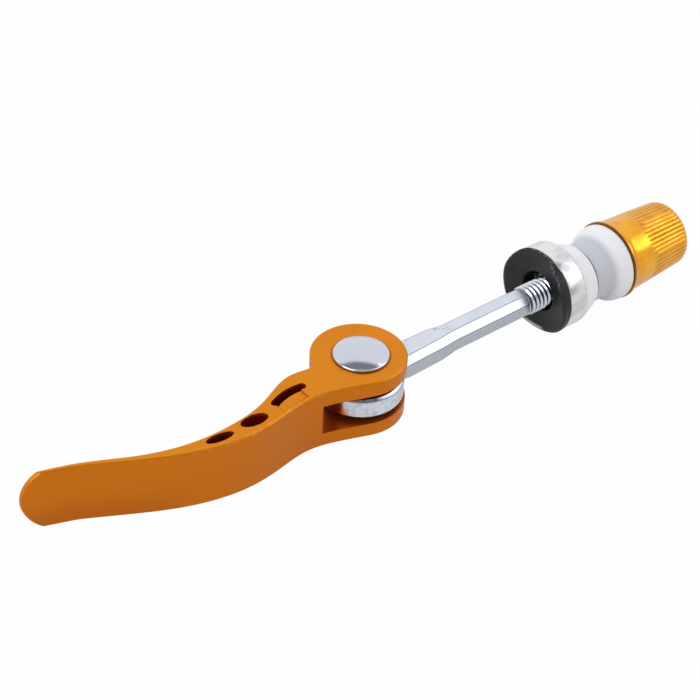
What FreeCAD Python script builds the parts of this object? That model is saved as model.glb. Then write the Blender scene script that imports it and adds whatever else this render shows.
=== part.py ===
import FreeCAD
import Part
import Sketcher
import math
import os

# Quick release seat clamp bolt: a cam lever on a forged eye bolt, a cupped saddle and
# washers that slide on the bolt, and a knurled nut on its threaded end.
# Frame: the bolt runs along +X towards the nut, the lever turns about Z through the origin,
# and the blade lies towards -X as it does when the clamp is half open.

SIZES = [
    # Lever: fork head, eccentric cam, S-curved blade
    ("cam_radius", 8.95, "fork head, the cam face"),
    ("cam_throw", 0.65, "head centre off the pivot, towards +Y"),
    ("lever_height", 12.5, "lever along the pivot axis"),
    ("slot_depth", 12.2, "pivot to the flat root of the fork slot"),
    ("head_lead_angle", 19.5, "slope of the head's front flank, degrees"),
    ("neck_reach", 16.0, "pivot to the neck behind the head"),
    ("neck_front", -4.25, "front edge at the neck"),
    ("bump_reach", 14.2, "pivot to the shoulder bump on the back edge"),
    ("bump_back", 3.25, "back edge at the bump"),
    ("notch_reach", 10.9, "pivot to the notch between bump and head"),
    ("notch_back", 2.95, "back edge at the notch"),
    ("root_reach", 22.0, "pivot to the thick end of the blade"),
    ("root_front", -5.1, "front edge there"),
    ("root_back", 0.3, "back edge there"),
    ("belly_reach", 30.0, "pivot to the belly of the blade"),
    ("belly_front", -5.72, "front edge there"),
    ("belly_back", -1.35, "back edge there"),
    ("waist_share", 0.584, "first bend, as a share of the blade's reach"),
    ("waist_front", -3.95, "front edge there"),
    ("waist_back", -1.0, "back edge there"),
    ("sweep_share", 0.719, "steepest part of the sweep, as a share of the reach"),
    ("sweep_front", 0.0, "front edge there"),
    ("sweep_back", 1.75, "back edge there"),
    ("hook_share", 0.854, "second bend, as a share of the reach"),
    ("hook_front", 4.85, "front edge there"),
    ("hook_back", 6.1, "back edge there"),
    ("tip_reach", 66.75, "pivot to the end of the blade"),
    ("tip_front", 8.6, "front edge at the tip"),
    ("tip_back", 9.35, "back edge at the tip"),
    ("tip_drop", 3.6, "how far the tip's corners lie behind its middle"),
    ("flank_pull", 8.0, "how firmly the front edge keeps its direction at both ends"),
    ("head_pull", 3.0, "how firmly the back edge turns into the head"),
    ("blade_edge", 0.3, "chamfer along the blade and head"),
    # Cut-outs through the blade
    ("eyelet_reach", 26.4, "pivot to the middle cut-out"),
    ("eyelet_offset", -2.95, "its centre off the pivot line"),
    ("eyelet_length", 5.5, ""),
    ("eyelet_width", 2.8, ""),
    ("eyelet_angle", -4.0, "degrees"),
    ("slit_reach", 33.9, "pivot to the outer cut-out"),
    ("slit_offset", -3.1, "its centre off the pivot line"),
    ("slit_length", 5.5, ""),
    ("slit_width", 2.0, ""),
    ("slit_angle", -6.0, "degrees"),
    ("groove_inner", 14.1, "pivot to the centre of the curved slot's inner end"),
    ("groove_inner_offset", -0.55, ""),
    ("groove_middle", 17.6, "pivot to the middle of the curved slot"),
    ("groove_middle_offset", -0.5, ""),
    ("groove_outer", 20.7, "pivot to the centre of the slot's outer end"),
    ("groove_outer_offset", -1.45, ""),
    ("groove_width", 1.6, ""),
    ("ledge_inner", 14.8, "recessed ledge beside the curved slot"),
    ("ledge_outer", 20.95, ""),
    ("ledge_inner_edge", -3.45, "near edge of the ledge at its inner end"),
    ("ledge_outer_edge", -4.2, "near edge of the ledge at its outer end"),
    ("ledge_depth", 0.35, ""),
    # Pivot pin
    ("pin_diameter", 5.0, ""),
    ("pin_head_diameter", 10.5, ""),
    ("pin_rim", 0.7, "straight rim under the dome"),
    ("pin_dome", 0.95, "dome above the rim"),
    ("rivet_diameter", 7.2, "peened end under the lower ear"),
    ("rivet_flat", 4.6, "flat of the peened end"),
    ("rivet_height", 0.8, ""),
    ("ear_fit", 0.02, "radial gap between pin and ears"),
    ("pivot_fit", 0.06, "radial running gap between pin and eye"),
    # Eye bolt
    ("eye_radius", 8.2, ""),
    ("eye_thickness", 4.4, ""),
    ("eye_edge", 0.5, "chamfer round the eye"),
    ("eye_play", 0.95, "gap between the eye and each ear"),
    ("neck_start", 5.0, "pivot to the neck's root inside the eye"),
    ("neck_full", 9.6, "pivot to where the neck has its full height"),
    ("neck_end", 17.8, "pivot to where the neck starts to narrow into the shank"),
    ("neck_width", 6.6, "neck at the eye"),
    ("neck_end_width", 6.1, "neck before it narrows"),
    ("neck_height", 5.5, ""),
    ("neck_corner", 1.3, "corner bevel of the neck"),
    ("shank_start", 21.6, "pivot to the eight-sided shank"),
    ("shank_width", 5.2, "across flats"),
    ("shank_corner", 1.35, "corner bevel of the shank"),
    ("thread_start", 40.4, "pivot to the first thread"),
    ("thread_core", 5.0, "thread core diameter"),
    ("thread_engagement", 10.0, "bolt inside the nut"),
    ("bolt_point", 0.6, "chamfer at the end of the bolt"),
    # Saddle, washers and bush, from the lever outwards
    ("saddle_seat", 44.7, "pivot to the bottom of the saddle's trough at rest"),
    ("saddle_base", 0.75, "saddle behind its trough"),
    ("saddle_horn", 1.0, "horns in front of the trough"),
    ("saddle_diameter", 17.75, ""),
    ("saddle_land", 0.9, "flat on each horn"),
    ("saddle_bore", 8.2, ""),
    ("saddle_turn", -16.0, "how far the saddle is turned round the bolt at rest, degrees"),
    ("spigot_diameter", 10.4, "saddle's collar inside the cup washer"),
    ("spigot_length", 2.6, ""),
    ("spigot_fit", 0.1, "radial running gap round the collar"),
    ("cup_rise", 0.75, "cup washer and saddle above the bolt's axis, as loose as their bores allow"),
    ("cup_inset", 0.13, "cup washer's rim inside the saddle's rim"),
    ("cup_width", 4.35, ""),
    ("cup_edge", 0.35, "chamfer on the cup washer's rims"),
    ("spacer_diameter", 16.6, "spacer against the cup washer"),
    ("spacer_tail_diameter", 13.6, "spacer at its far end"),
    ("spacer_width", 5.1, ""),
    ("washer_bore", 6.8, "spacer and bush over the thread"),
    ("bush_neck_diameter", 12.2, ""),
    ("bush_neck_length", 5.9, ""),
    ("bush_root_diameter", 13.8, "where the neck's flare meets the flange"),
    ("bush_flare", 1.8, "length of the flare"),
    ("bush_flange_diameter", 15.9, ""),
    ("bush_flange_width", 2.95, ""),
    ("bush_edge", 0.5, "chamfer on the flange"),
    ("seat_gap", 0.05, "between flat faces that seat on each other"),
    # Nut
    ("nut_lip_rise", 0.15, "nut's lip outside the bush's flange"),
    ("nut_lip_width", 0.8, ""),
    ("nut_shoulder", 2.2, "lip face to the end of the flare"),
    ("nut_flare_drop", 0.3, "step down from the lip into the flare"),
    ("nut_flare_run", 0.35, "length of that step"),
    ("nut_base_diameter", 15.2, "body at the flare"),
    ("nut_end_diameter", 13.5, "body at the closed end"),
    ("nut_length", 17.0, ""),
    ("nut_end_round", 0.9, "bevel round the closed end"),
    ("nut_bore_fit", 0.05, "radial gap round the thread core"),
    ("nut_bore_relief", 1.0, "bore past the end of the bolt"),
    ("knurl_start", 6.2, "lip face to the start of the ribs"),
    ("knurl_diameter", 14.76, "body where the ribs start"),
    ("knurl_depth", 0.26, ""),
    ("knurl_width", 0.36, "groove between two ribs"),
    ("knurl_count", 48, ""),
]

# Lengths closer than this are the same, in millimetres
SAME = 1e-4

doc = FreeCAD.newDocument("quick_release_seat_clamp")
sheet = doc.addObject("Spreadsheet::Sheet", "Sizes")
for row, (name, number, note) in enumerate(SIZES, start=1):
    sheet.set(f"A{row}", str(number))
    sheet.setAlias(f"A{row}", name)
    sheet.set(f"B{row}", note)
doc.recompute()


def size(expression):
    """Present value of an expression on the sheet, in millimetres or degrees."""
    return float(sheet.evalExpression(expression))


def origin_plane(body, role):
    return next(item for item in body.Origin.OriginFeatures if item.Role == role)


def sketch_on(body, name, role, offset=None):
    """Empty sketch on one of the body's own planes, moved along its normal by an expression."""
    sketch = body.newObject("Sketcher::SketchObject", name)
    sketch.AttachmentSupport = (origin_plane(body, role), [""])
    sketch.MapMode = "FlatFace"
    if offset:
        sketch.setExpression("AttachmentOffset.Base.z", offset)
    return sketch


def pin_point(sketch, item, end, name, across, along):
    """Ties one point of the sketch to two expressions, measured from the sketch's origin."""
    for kind, axis, expression in (("DistanceX", -2, across), ("DistanceY", -1, along)):
        if expression == "0":
            sketch.addConstraint(Sketcher.Constraint("PointOnObject", item, end, axis))
            continue
        index = sketch.addConstraint(Sketcher.Constraint(kind, item, end, size(expression)))
        sketch.renameConstraint(index, f"{name}_{kind[-1]}")
        sketch.setExpression(f"Constraints.{name}_{kind[-1]}", expression)


def draw_profile(sketch, corners):
    """Closed profile through corners given as pairs of expressions. A third entry makes the side
    that leaves the corner an arc of that radius, bulging to the right of the way it runs."""
    spots = [FreeCAD.Vector(size(corner[0]), size(corner[1]), 0) for corner in corners]
    count = len(corners)
    for index, corner in enumerate(corners):
        start = spots[index]
        stop = spots[(index + 1) % count]
        if len(corner) < 3:
            sketch.addGeometry(Part.LineSegment(start, stop))
            continue
        chord = stop - start
        radius = size(corner[2])
        rise = radius - math.sqrt(radius ** 2 - (chord.Length / 2) ** 2)
        outward = FreeCAD.Vector(chord.y, -chord.x, 0).normalize() * rise
        sketch.addGeometry(Part.Arc(start, start + chord / 2 + outward, stop))
    for index, corner in enumerate(corners):
        sketch.addConstraint(Sketcher.Constraint("Coincident", index, 2, (index + 1) % count, 1))
        pin_point(sketch, index, 1, f"corner{index}", corner[0], corner[1])
        if len(corner) > 2:
            number = sketch.addConstraint(Sketcher.Constraint("Radius", index, size(corner[2])))
            sketch.renameConstraint(number, f"radius{index}")
            sketch.setExpression(f"Constraints.radius{index}", corner[2])
    return sketch


def draw_circle(sketch, across, along, radius):
    item = sketch.addGeometry(Part.Circle(FreeCAD.Vector(size(across), size(along), 0),
                                          FreeCAD.Vector(0, 0, 1), size(radius)))
    pin_point(sketch, item, 3, "centre", across, along)
    index = sketch.addConstraint(Sketcher.Constraint("Radius", item, size(radius)))
    sketch.renameConstraint(index, "radius")
    sketch.setExpression("Constraints.radius", radius)
    return sketch


def new_body(name):
    body = doc.addObject("PartDesign::Body", name)
    body.Label = name
    return body


def pad(body, name, sketch, length, both_ways=False):
    feature = body.newObject("PartDesign::Pad", name)
    feature.Profile = sketch
    feature.Midplane = both_ways
    feature.setExpression("Length", length)
    doc.recompute()
    return feature


def cut(body, name, sketch, length=None, both_ways=True, flip=False):
    """Pocket that has to take material away: through everything, or to a depth."""
    before = body.Shape.Volume
    feature = body.newObject("PartDesign::Pocket", name)
    feature.Profile = sketch
    feature.Reversed = flip
    if length:
        feature.setExpression("Length", length)
    else:
        feature.Type = "ThroughAll"
        feature.Midplane = both_ways
    doc.recompute()
    if not body.Shape.Volume < before:
        raise RuntimeError(f"{name} cuts nothing")
    return feature


def revolve(body, name, sketch, axis):
    feature = body.newObject("PartDesign::Revolution", name)
    feature.Profile = sketch
    feature.ReferenceAxis = (sketch, [axis])
    feature.Angle = 360
    doc.recompute()
    return feature


def break_edges(body, name, amount, wanted):
    """Chamfer on the edges of the body's present shape that a test picks."""
    base = body.Tip
    picked = [f"Edge{index}" for index, edge in enumerate(base.Shape.Edges, start=1) if wanted(edge)]
    if not picked:
        raise RuntimeError(f"{name} finds no edge")
    feature = body.newObject("PartDesign::Chamfer", name)
    feature.Base = (base, picked)
    feature.setExpression("Size", amount)
    doc.recompute()
    return feature


def is_ring(edge, radius):
    """True for a circular edge of that radius, whole or in part."""
    return isinstance(edge.Curve, Part.Circle) and abs(edge.Curve.Radius - radius) < SAME


def vector(reach, side):
    """Point of the lever's plan: a reach from the pivot towards the tip and an offset across."""
    return FreeCAD.Vector(-size(reach), size(side), 0)


# Lever: one forged and machined piece. Its plan is drawn as the head's arc and two smooth edges
# through the blade's stations, padded to the lever's height, then forked, pierced and rounded.
lever = new_body("lever")
outline = sketch_on(lever, "lever_outline", "XY_Plane")
head_centre = FreeCAD.Vector(0, size("Sizes.cam_throw"), 0)
head_radius = size("Sizes.cam_radius")
lead = math.radians(size("Sizes.head_lead_angle"))
flank = FreeCAD.Vector(-math.cos(lead), math.sin(lead), 0)
front_joint = head_centre + FreeCAD.Vector(-math.sin(lead), -math.cos(lead), 0) * head_radius
notch = vector("Sizes.notch_reach", "Sizes.notch_back")
joint_height = notch.y + size("Sizes.cam_throw")
joint_rise = joint_height - head_centre.y
joint_run = math.sqrt(head_radius ** 2 - joint_rise ** 2)
back_joint = FreeCAD.Vector(-joint_run, joint_height, 0)
back_tangent = FreeCAD.Vector(joint_rise, joint_run, 0).normalize()
front_edge = [front_joint]
back_edge = []
for station in ("neck", "root", "belly", "waist", "sweep", "hook", "tip"):
    reach = f"Sizes.{station}_reach"
    if station in ("waist", "sweep", "hook"):
        reach = f"Sizes.{station}_share * Sizes.tip_reach"
    front_edge.append(vector(reach, f"Sizes.{station}_front"))
    if station != "neck":
        back_edge.insert(0, vector(reach, f"Sizes.{station}_back"))
back_edge += [vector("Sizes.bump_reach", "Sizes.bump_back"), notch, back_joint]
tip_run = (front_edge[-1] - front_edge[-2]).normalize()
front_curve = Part.BSplineCurve()
flank_pull = size("Sizes.flank_pull")
front_curve.interpolate(Points=front_edge, InitialTangent=flank * flank_pull,
                        FinalTangent=tip_run * flank_pull)
back_curve = Part.BSplineCurve()
back_curve.interpolate(Points=back_edge, InitialTangent=(back_edge[1] - back_edge[0]),
                       FinalTangent=back_tangent * size("Sizes.head_pull"))
far_side = head_centre + FreeCAD.Vector(head_radius, 0, 0)
outline.addGeometry(front_curve)
outline.addGeometry(Part.LineSegment(front_edge[-1], back_edge[0]))
outline.addGeometry(back_curve)
outline.addGeometry(Part.Arc(back_joint, far_side, front_joint))
for item in range(4):
    outline.addConstraint(Sketcher.Constraint("Block", item))
pad(lever, "lever_blank", outline, "Sizes.lever_height", both_ways=True)

half_height = "Sizes.lever_height / 2"


def on_outline(edge):
    """Long edges where the flat top and bottom meet the blade and head."""
    middle = edge.valueAt((edge.FirstParameter + edge.LastParameter) / 2)
    level = abs(abs(middle.z) - size(half_height)) < SAME
    return level and edge.Length > size("Sizes.lever_height") / 4


break_edges(lever, "lever_edges", "Sizes.blade_edge", on_outline)

tip_end = "-(Sizes.tip_reach + Sizes.tip_drop)"
tip_corner = "-(Sizes.tip_reach - Sizes.tip_drop)"
tip_radius = f"(({half_height})^2 + Sizes.tip_drop^2) / (2 * Sizes.tip_drop)"
tip_cut = draw_profile(sketch_on(lever, "tip_cut", "XZ_Plane"), [
    (tip_corner, half_height, tip_radius),
    (tip_corner, f"-({half_height})"),
    (tip_corner, "-Sizes.lever_height"),
    (tip_end, "-Sizes.lever_height"),
    (tip_end, "Sizes.lever_height"),
    (tip_corner, "Sizes.lever_height"),
])
cut(lever, "tip_rounding", tip_cut)

half_slot = "Sizes.eye_thickness / 2 + Sizes.eye_play"
slot_far = "Sizes.cam_radius + Sizes.cam_throw + Sizes.lever_height"
fork = draw_profile(sketch_on(lever, "fork_slot", "XZ_Plane"), [
    ("-Sizes.slot_depth", f"-({half_slot})"),
    (slot_far, f"-({half_slot})"),
    (slot_far, half_slot),
    ("-Sizes.slot_depth", half_slot),
])
cut(lever, "fork", fork)

for name in ("eyelet", "slit"):
    turn = math.radians(size(f"Sizes.{name}_angle"))
    centre = vector(f"Sizes.{name}_reach", f"Sizes.{name}_offset")
    along = FreeCAD.Vector(math.cos(turn), math.sin(turn), 0) * (size(f"Sizes.{name}_length") / 2)
    across = FreeCAD.Vector(-math.sin(turn), math.cos(turn), 0) * (size(f"Sizes.{name}_width") / 2)
    hole = sketch_on(lever, f"{name}_outline", "XY_Plane")
    hole.addGeometry(Part.Ellipse(centre + along, centre + across, centre))
    hole.addConstraint(Sketcher.Constraint("Block", 0))
    cut(lever, f"{name}_hole", hole)

inner = vector("Sizes.groove_inner", "Sizes.groove_inner_offset")
middle = vector("Sizes.groove_middle", "Sizes.groove_middle_offset")
outer = vector("Sizes.groove_outer", "Sizes.groove_outer_offset")
spine = Part.Arc(inner, middle, outer).toShape().Curve
half_width = size("Sizes.groove_width") / 2


def from_spine(point, amount):
    return point + (point - spine.Center).normalize() * amount


def beyond(point, toward):
    """Crown of the slot's round end: half a width past the spine's own end."""
    radial = (point - spine.Center).normalize()
    tangent = FreeCAD.Vector(-radial.y, radial.x, 0)
    return point + tangent * (half_width if tangent.dot(toward) > 0 else -half_width)


groove = sketch_on(lever, "groove_outline", "XY_Plane")
groove.addGeometry(Part.Arc(*(from_spine(spot, half_width) for spot in (inner, middle, outer))))
groove.addGeometry(Part.Arc(from_spine(outer, half_width), beyond(outer, outer - inner),
                            from_spine(outer, -half_width)))
groove.addGeometry(Part.Arc(*(from_spine(spot, -half_width) for spot in (outer, middle, inner))))
groove.addGeometry(Part.Arc(from_spine(inner, -half_width), beyond(inner, inner - outer),
                            from_spine(inner, half_width)))
for item in range(4):
    groove.addConstraint(Sketcher.Constraint("Block", item))
cut(lever, "groove", groove)

ledge = draw_profile(sketch_on(lever, "ledge_outline", "XY_Plane", half_height), [
    ("-Sizes.ledge_outer", "Sizes.ledge_outer_edge"),
    ("-Sizes.ledge_inner", "Sizes.ledge_inner_edge"),
    ("-Sizes.ledge_inner", "Sizes.groove_inner_offset"),
    ("-Sizes.groove_middle", "Sizes.groove_middle_offset"),
    ("-Sizes.ledge_outer", "Sizes.groove_outer_offset"),
])
cut(lever, "ledge", ledge, "Sizes.ledge_depth")

ear_bore = draw_circle(sketch_on(lever, "ear_bore_outline", "XY_Plane"), "0", "0",
                       "Sizes.pin_diameter / 2 + Sizes.ear_fit")
cut(lever, "ear_bore", ear_bore)

# Pivot pin: a headed rivet with a low dome above the upper ear, peened over under the lower ear.
pivot_pin = new_body("pivot_pin")
head_under = f"{half_height} + Sizes.seat_gap"
head_rim = f"{head_under} + Sizes.pin_rim"
head_crown = f"{head_rim} + Sizes.pin_dome"
dome_radius = "((Sizes.pin_head_diameter / 2)^2 + Sizes.pin_dome^2) / (2 * Sizes.pin_dome)"
rivet_under = f"-({half_height} + Sizes.seat_gap)"
rivet_crown = f"{rivet_under} - Sizes.rivet_height"
pin_profile = draw_profile(sketch_on(pivot_pin, "pin_profile", "XZ_Plane"), [
    ("0", rivet_crown),
    ("Sizes.rivet_flat / 2", rivet_crown),
    ("Sizes.rivet_diameter / 2", rivet_under),
    ("Sizes.pin_diameter / 2", rivet_under),
    ("Sizes.pin_diameter / 2", head_under),
    ("Sizes.pin_head_diameter / 2", head_under),
    ("Sizes.pin_head_diameter / 2", head_rim, dome_radius),
    ("0", head_crown),
])
revolve(pivot_pin, "pin", pin_profile, "V_Axis")

# Eye bolt: forged from bar, with a flat eye, a wide neck that narrows into an eight-sided
# shank, and a threaded end whose core is drawn here.
eye_bolt = new_body("eye_bolt")
cup_front = "Sizes.saddle_seat + Sizes.saddle_base + Sizes.seat_gap"
spacer_front = f"{cup_front} + Sizes.cup_width + Sizes.seat_gap"
bush_front = f"{spacer_front} + Sizes.spacer_width + Sizes.seat_gap"
flange_front = f"{bush_front} + Sizes.bush_neck_length"
flange_back = f"{flange_front} + Sizes.bush_flange_width"
nut_front = f"{flange_back} + Sizes.seat_gap"
bolt_end = f"{nut_front} + Sizes.thread_engagement"

eye_outline = draw_circle(sketch_on(eye_bolt, "eye_outline", "XY_Plane"), "0", "0",
                          "Sizes.eye_radius")
pad(eye_bolt, "eye", eye_outline, "Sizes.eye_thickness", both_ways=True)
break_edges(eye_bolt, "eye_edges", "Sizes.eye_edge",
            lambda edge: is_ring(edge, size("Sizes.eye_radius")))


def eight_sided(name, offset, width, height, corner):
    """Section across the bolt: a rectangle with its four corners bevelled."""
    side = f"{width} / 2"
    top = f"{height} / 2"
    return draw_profile(sketch_on(eye_bolt, name, "YZ_Plane", offset), [
        (f"{side} - {corner}", f"-({top})"),
        (side, f"-({top} - {corner})"),
        (side, f"{top} - {corner}"),
        (f"{side} - {corner}", top),
        (f"-({side} - {corner})", top),
        (f"-({side})", f"{top} - {corner}"),
        (f"-({side})", f"-({top} - {corner})"),
        (f"-({side} - {corner})", f"-({top})"),
    ])


neck_root = eight_sided("neck_root", "Sizes.neck_start", "Sizes.neck_width",
                        "Sizes.eye_thickness", "Sizes.neck_corner")
neck_full = eight_sided("neck_full", "Sizes.neck_full", "Sizes.neck_width",
                        "Sizes.neck_height", "Sizes.neck_corner")
neck_end = eight_sided("neck_end", "Sizes.neck_end", "Sizes.neck_end_width",
                       "Sizes.neck_height", "Sizes.neck_corner")
narrow_end = eight_sided("neck_narrow_end", "Sizes.shank_start", "Sizes.shank_width",
                         "Sizes.shank_width", "Sizes.shank_corner")
neck = eye_bolt.newObject("PartDesign::AdditiveLoft", "neck")
neck.Profile = neck_root
neck.Sections = [neck_full, neck_end, narrow_end]
neck.Ruled = True
doc.recompute()
shank_section = eight_sided("shank_section", "Sizes.shank_start", "Sizes.shank_width",
                            "Sizes.shank_width", "Sizes.shank_corner")
pad(eye_bolt, "shank", shank_section, "Sizes.thread_start - Sizes.shank_start")
thread_section = draw_circle(sketch_on(eye_bolt, "thread_section", "YZ_Plane", "Sizes.thread_start"),
                             "0", "0", "Sizes.thread_core / 2")
pad(eye_bolt, "threaded_end", thread_section, f"{bolt_end} - Sizes.thread_start")
break_edges(eye_bolt, "bolt_point", "Sizes.bolt_point",
            lambda edge: is_ring(edge, size("Sizes.thread_core") / 2)
            and edge.Curve.Center.x > size(bolt_end) - SAME)
eye_bore = draw_circle(sketch_on(eye_bolt, "eye_bore_outline", "XY_Plane"), "0", "0",
                       "Sizes.pin_diameter / 2 + Sizes.pivot_fit")
cut(eye_bolt, "eye_bore", eye_bore)


def turned(name, corners):
    """Body turned about the bolt's axis from half a section: distance along it, then radius."""
    body = new_body(name)
    revolve(body, f"{name}_turned", draw_profile(sketch_on(body, f"{name}_section", "XZ_Plane"), corners),
            "H_Axis")
    return body


# Cam saddle: a moulded disc that carries the cam in a trough across it, with a collar that
# centres it in the cup washer.
saddle_front = "Sizes.saddle_seat - Sizes.saddle_horn"
saddle_back = "Sizes.saddle_seat + Sizes.saddle_base"
collar_end = f"{saddle_back} + Sizes.spigot_length"
cam_saddle = turned("cam_saddle", [
    (saddle_front, "Sizes.saddle_bore / 2"),
    (collar_end, "Sizes.saddle_bore / 2"),
    (collar_end, "Sizes.spigot_diameter / 2"),
    (saddle_back, "Sizes.spigot_diameter / 2"),
    (saddle_back, "Sizes.saddle_diameter / 2"),
    (saddle_front, "Sizes.saddle_diameter / 2"),
])
half_trough = "(Sizes.saddle_diameter / 2 - Sizes.saddle_land)"
trough_radius = f"({half_trough}^2 + Sizes.saddle_horn^2) / (2 * Sizes.saddle_horn)"
trough = draw_circle(sketch_on(cam_saddle, "trough_outline", "XY_Plane"),
                     f"Sizes.saddle_seat - {trough_radius}", "0", trough_radius)
cut(cam_saddle, "trough", trough)
saddle_lift = FreeCAD.Vector(0, 0, size("Sizes.cup_rise"))
saddle_roll = FreeCAD.Rotation(FreeCAD.Vector(1, 0, 0), size("Sizes.saddle_turn"))
cam_saddle.Placement = FreeCAD.Placement(saddle_lift, saddle_roll)

# Cup washer: a turned ring that backs the saddle and holds its collar.
cup_radius = "Sizes.saddle_diameter / 2 - Sizes.cup_inset"
cup_washer = turned("cup_washer", [
    (cup_front, "Sizes.spigot_diameter / 2 + Sizes.spigot_fit"),
    (f"{cup_front} + Sizes.cup_width", "Sizes.spigot_diameter / 2 + Sizes.spigot_fit"),
    (f"{cup_front} + Sizes.cup_width", cup_radius),
    (cup_front, cup_radius),
])
break_edges(cup_washer, "cup_edges", "Sizes.cup_edge",
            lambda edge: is_ring(edge, size(cup_radius)))
cup_washer.setExpression("Placement.Base.z", "Sizes.cup_rise")

# Nylon spacer: a moulded washer between the cup washer and the clamp, tapering away from the cup.
spacer_back = f"{spacer_front} + Sizes.spacer_width"
nylon_spacer = turned("nylon_spacer", [
    (spacer_front, "Sizes.washer_bore / 2"),
    (spacer_back, "Sizes.washer_bore / 2"),
    (spacer_back, "Sizes.spacer_tail_diameter / 2"),
    (spacer_front, "Sizes.spacer_diameter / 2"),
])

# Nylon bush: a moulded top hat whose neck points at the spacer and whose flange backs the nut.
nylon_bush = turned("nylon_bush", [
    (bush_front, "Sizes.washer_bore / 2"),
    (flange_back, "Sizes.washer_bore / 2"),
    (flange_back, "Sizes.bush_flange_diameter / 2"),
    (f"{flange_front} + Sizes.bush_edge", "Sizes.bush_flange_diameter / 2"),
    (flange_front, "Sizes.bush_flange_diameter / 2 - Sizes.bush_edge"),
    (flange_front, "Sizes.bush_root_diameter / 2"),
    (f"{flange_front} - Sizes.bush_flare", "Sizes.bush_neck_diameter / 2"),
    (bush_front, "Sizes.bush_neck_diameter / 2"),
])

# Nut: a turned cap with a thin lip, a flare, a tapered body and straight ribs cut along it.
nut_shoulder = f"{nut_front} + Sizes.nut_shoulder"
nut_end = f"{nut_front} + Sizes.nut_length"
bore_end = f"{bolt_end} + Sizes.nut_bore_relief"
nut_bore = "Sizes.thread_core / 2 + Sizes.nut_bore_fit"
lip_back = f"{nut_front} + Sizes.nut_lip_width"
lip_radius = "Sizes.bush_flange_diameter / 2 + Sizes.nut_lip_rise"
lip_foot = f"{lip_radius} - Sizes.nut_flare_drop"
end_radius = "Sizes.nut_end_diameter / 2"
nut = turned("nut", [
    (nut_front, nut_bore),
    (bore_end, nut_bore),
    (bore_end, "0"),
    (nut_end, "0"),
    (nut_end, f"{end_radius} - Sizes.nut_end_round"),
    (f"{nut_end} - Sizes.nut_end_round", end_radius),
    (f"{nut_front} + Sizes.knurl_start", "Sizes.knurl_diameter / 2"),
    (nut_shoulder, "Sizes.nut_base_diameter / 2"),
    (f"{lip_back} + Sizes.nut_flare_run", lip_foot),
    (lip_back, lip_radius),
    (nut_front, lip_radius),
])
rib_drop = "(Sizes.knurl_diameter - Sizes.nut_end_diameter) / 2"
rib_run = "(Sizes.nut_length - Sizes.nut_end_round - Sizes.knurl_start)"


def knurl_notch(name, distance):
    """Three-cornered notch in the nut's side at a distance from its lip."""
    surface = f"Sizes.knurl_diameter / 2 - {rib_drop} * ({distance} - Sizes.knurl_start) / {rib_run}"
    return draw_profile(sketch_on(nut, name, "YZ_Plane", f"{nut_front} + {distance}"), [
        ("0", f"{surface} - Sizes.knurl_depth"),
        ("Sizes.knurl_width", f"{surface} + Sizes.knurl_depth"),
        ("-Sizes.knurl_width", f"{surface} + Sizes.knurl_depth"),
    ])


before_knurl = nut.Shape.Volume
groove_feature = nut.newObject("PartDesign::SubtractiveLoft", "knurl_groove")
groove_feature.Profile = knurl_notch("knurl_notch_inner", "Sizes.knurl_start")
groove_feature.Sections = [knurl_notch("knurl_notch_outer", "Sizes.nut_length")]
groove_feature.Ruled = True
doc.recompute()
knurl = nut.newObject("PartDesign::PolarPattern", "knurl")
knurl.Originals = [groove_feature]
knurl.Axis = (origin_plane(nut, "X_Axis"), [""])
knurl.Angle = 360
knurl.setExpression("Occurrences", "Sizes.knurl_count")
nut.Tip = knurl
doc.recompute()
if not nut.Shape.Volume < before_knurl:
    raise RuntimeError("the knurl cuts nothing")

pieces = [lever, pivot_pin, eye_bolt, cam_saddle, cup_washer, nylon_spacer, nylon_bush, nut]
for item in doc.Objects:
    if "Invalid" in item.State or "Error" in item.State:
        raise RuntimeError(f"{item.Label} did not recompute")
for piece in pieces:
    shape = piece.Shape
    if shape.isNull() or not shape.isValid() or len(shape.Solids) != 1:
        raise RuntimeError(f"{piece.Label} is not one valid solid")
os.makedirs("parts", exist_ok=True)
for piece in pieces:
    piece.Shape.exportStep(f"parts/{piece.Label}.step")
    print(piece.Label, round(piece.Shape.Volume, 1), piece.Shape.BoundBox)
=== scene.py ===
import bpy
import math
from mathutils import Matrix, Vector


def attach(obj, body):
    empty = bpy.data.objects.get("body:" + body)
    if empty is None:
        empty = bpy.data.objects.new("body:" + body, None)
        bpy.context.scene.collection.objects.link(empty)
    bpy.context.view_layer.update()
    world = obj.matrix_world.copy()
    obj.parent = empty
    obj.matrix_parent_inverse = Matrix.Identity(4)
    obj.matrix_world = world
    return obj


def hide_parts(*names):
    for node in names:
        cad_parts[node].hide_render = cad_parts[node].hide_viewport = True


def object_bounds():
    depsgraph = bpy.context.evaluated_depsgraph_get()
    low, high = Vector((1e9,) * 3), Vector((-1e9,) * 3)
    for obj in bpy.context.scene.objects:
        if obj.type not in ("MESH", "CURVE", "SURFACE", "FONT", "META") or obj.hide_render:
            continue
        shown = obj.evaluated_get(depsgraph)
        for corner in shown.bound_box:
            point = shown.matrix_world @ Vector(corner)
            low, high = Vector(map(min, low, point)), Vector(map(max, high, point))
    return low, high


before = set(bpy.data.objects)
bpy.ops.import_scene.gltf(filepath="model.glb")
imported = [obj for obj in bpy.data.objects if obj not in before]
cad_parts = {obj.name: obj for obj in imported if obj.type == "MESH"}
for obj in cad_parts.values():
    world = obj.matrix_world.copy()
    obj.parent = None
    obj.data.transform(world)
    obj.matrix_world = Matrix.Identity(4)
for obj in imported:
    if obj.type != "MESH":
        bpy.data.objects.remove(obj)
cad_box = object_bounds()


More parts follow.
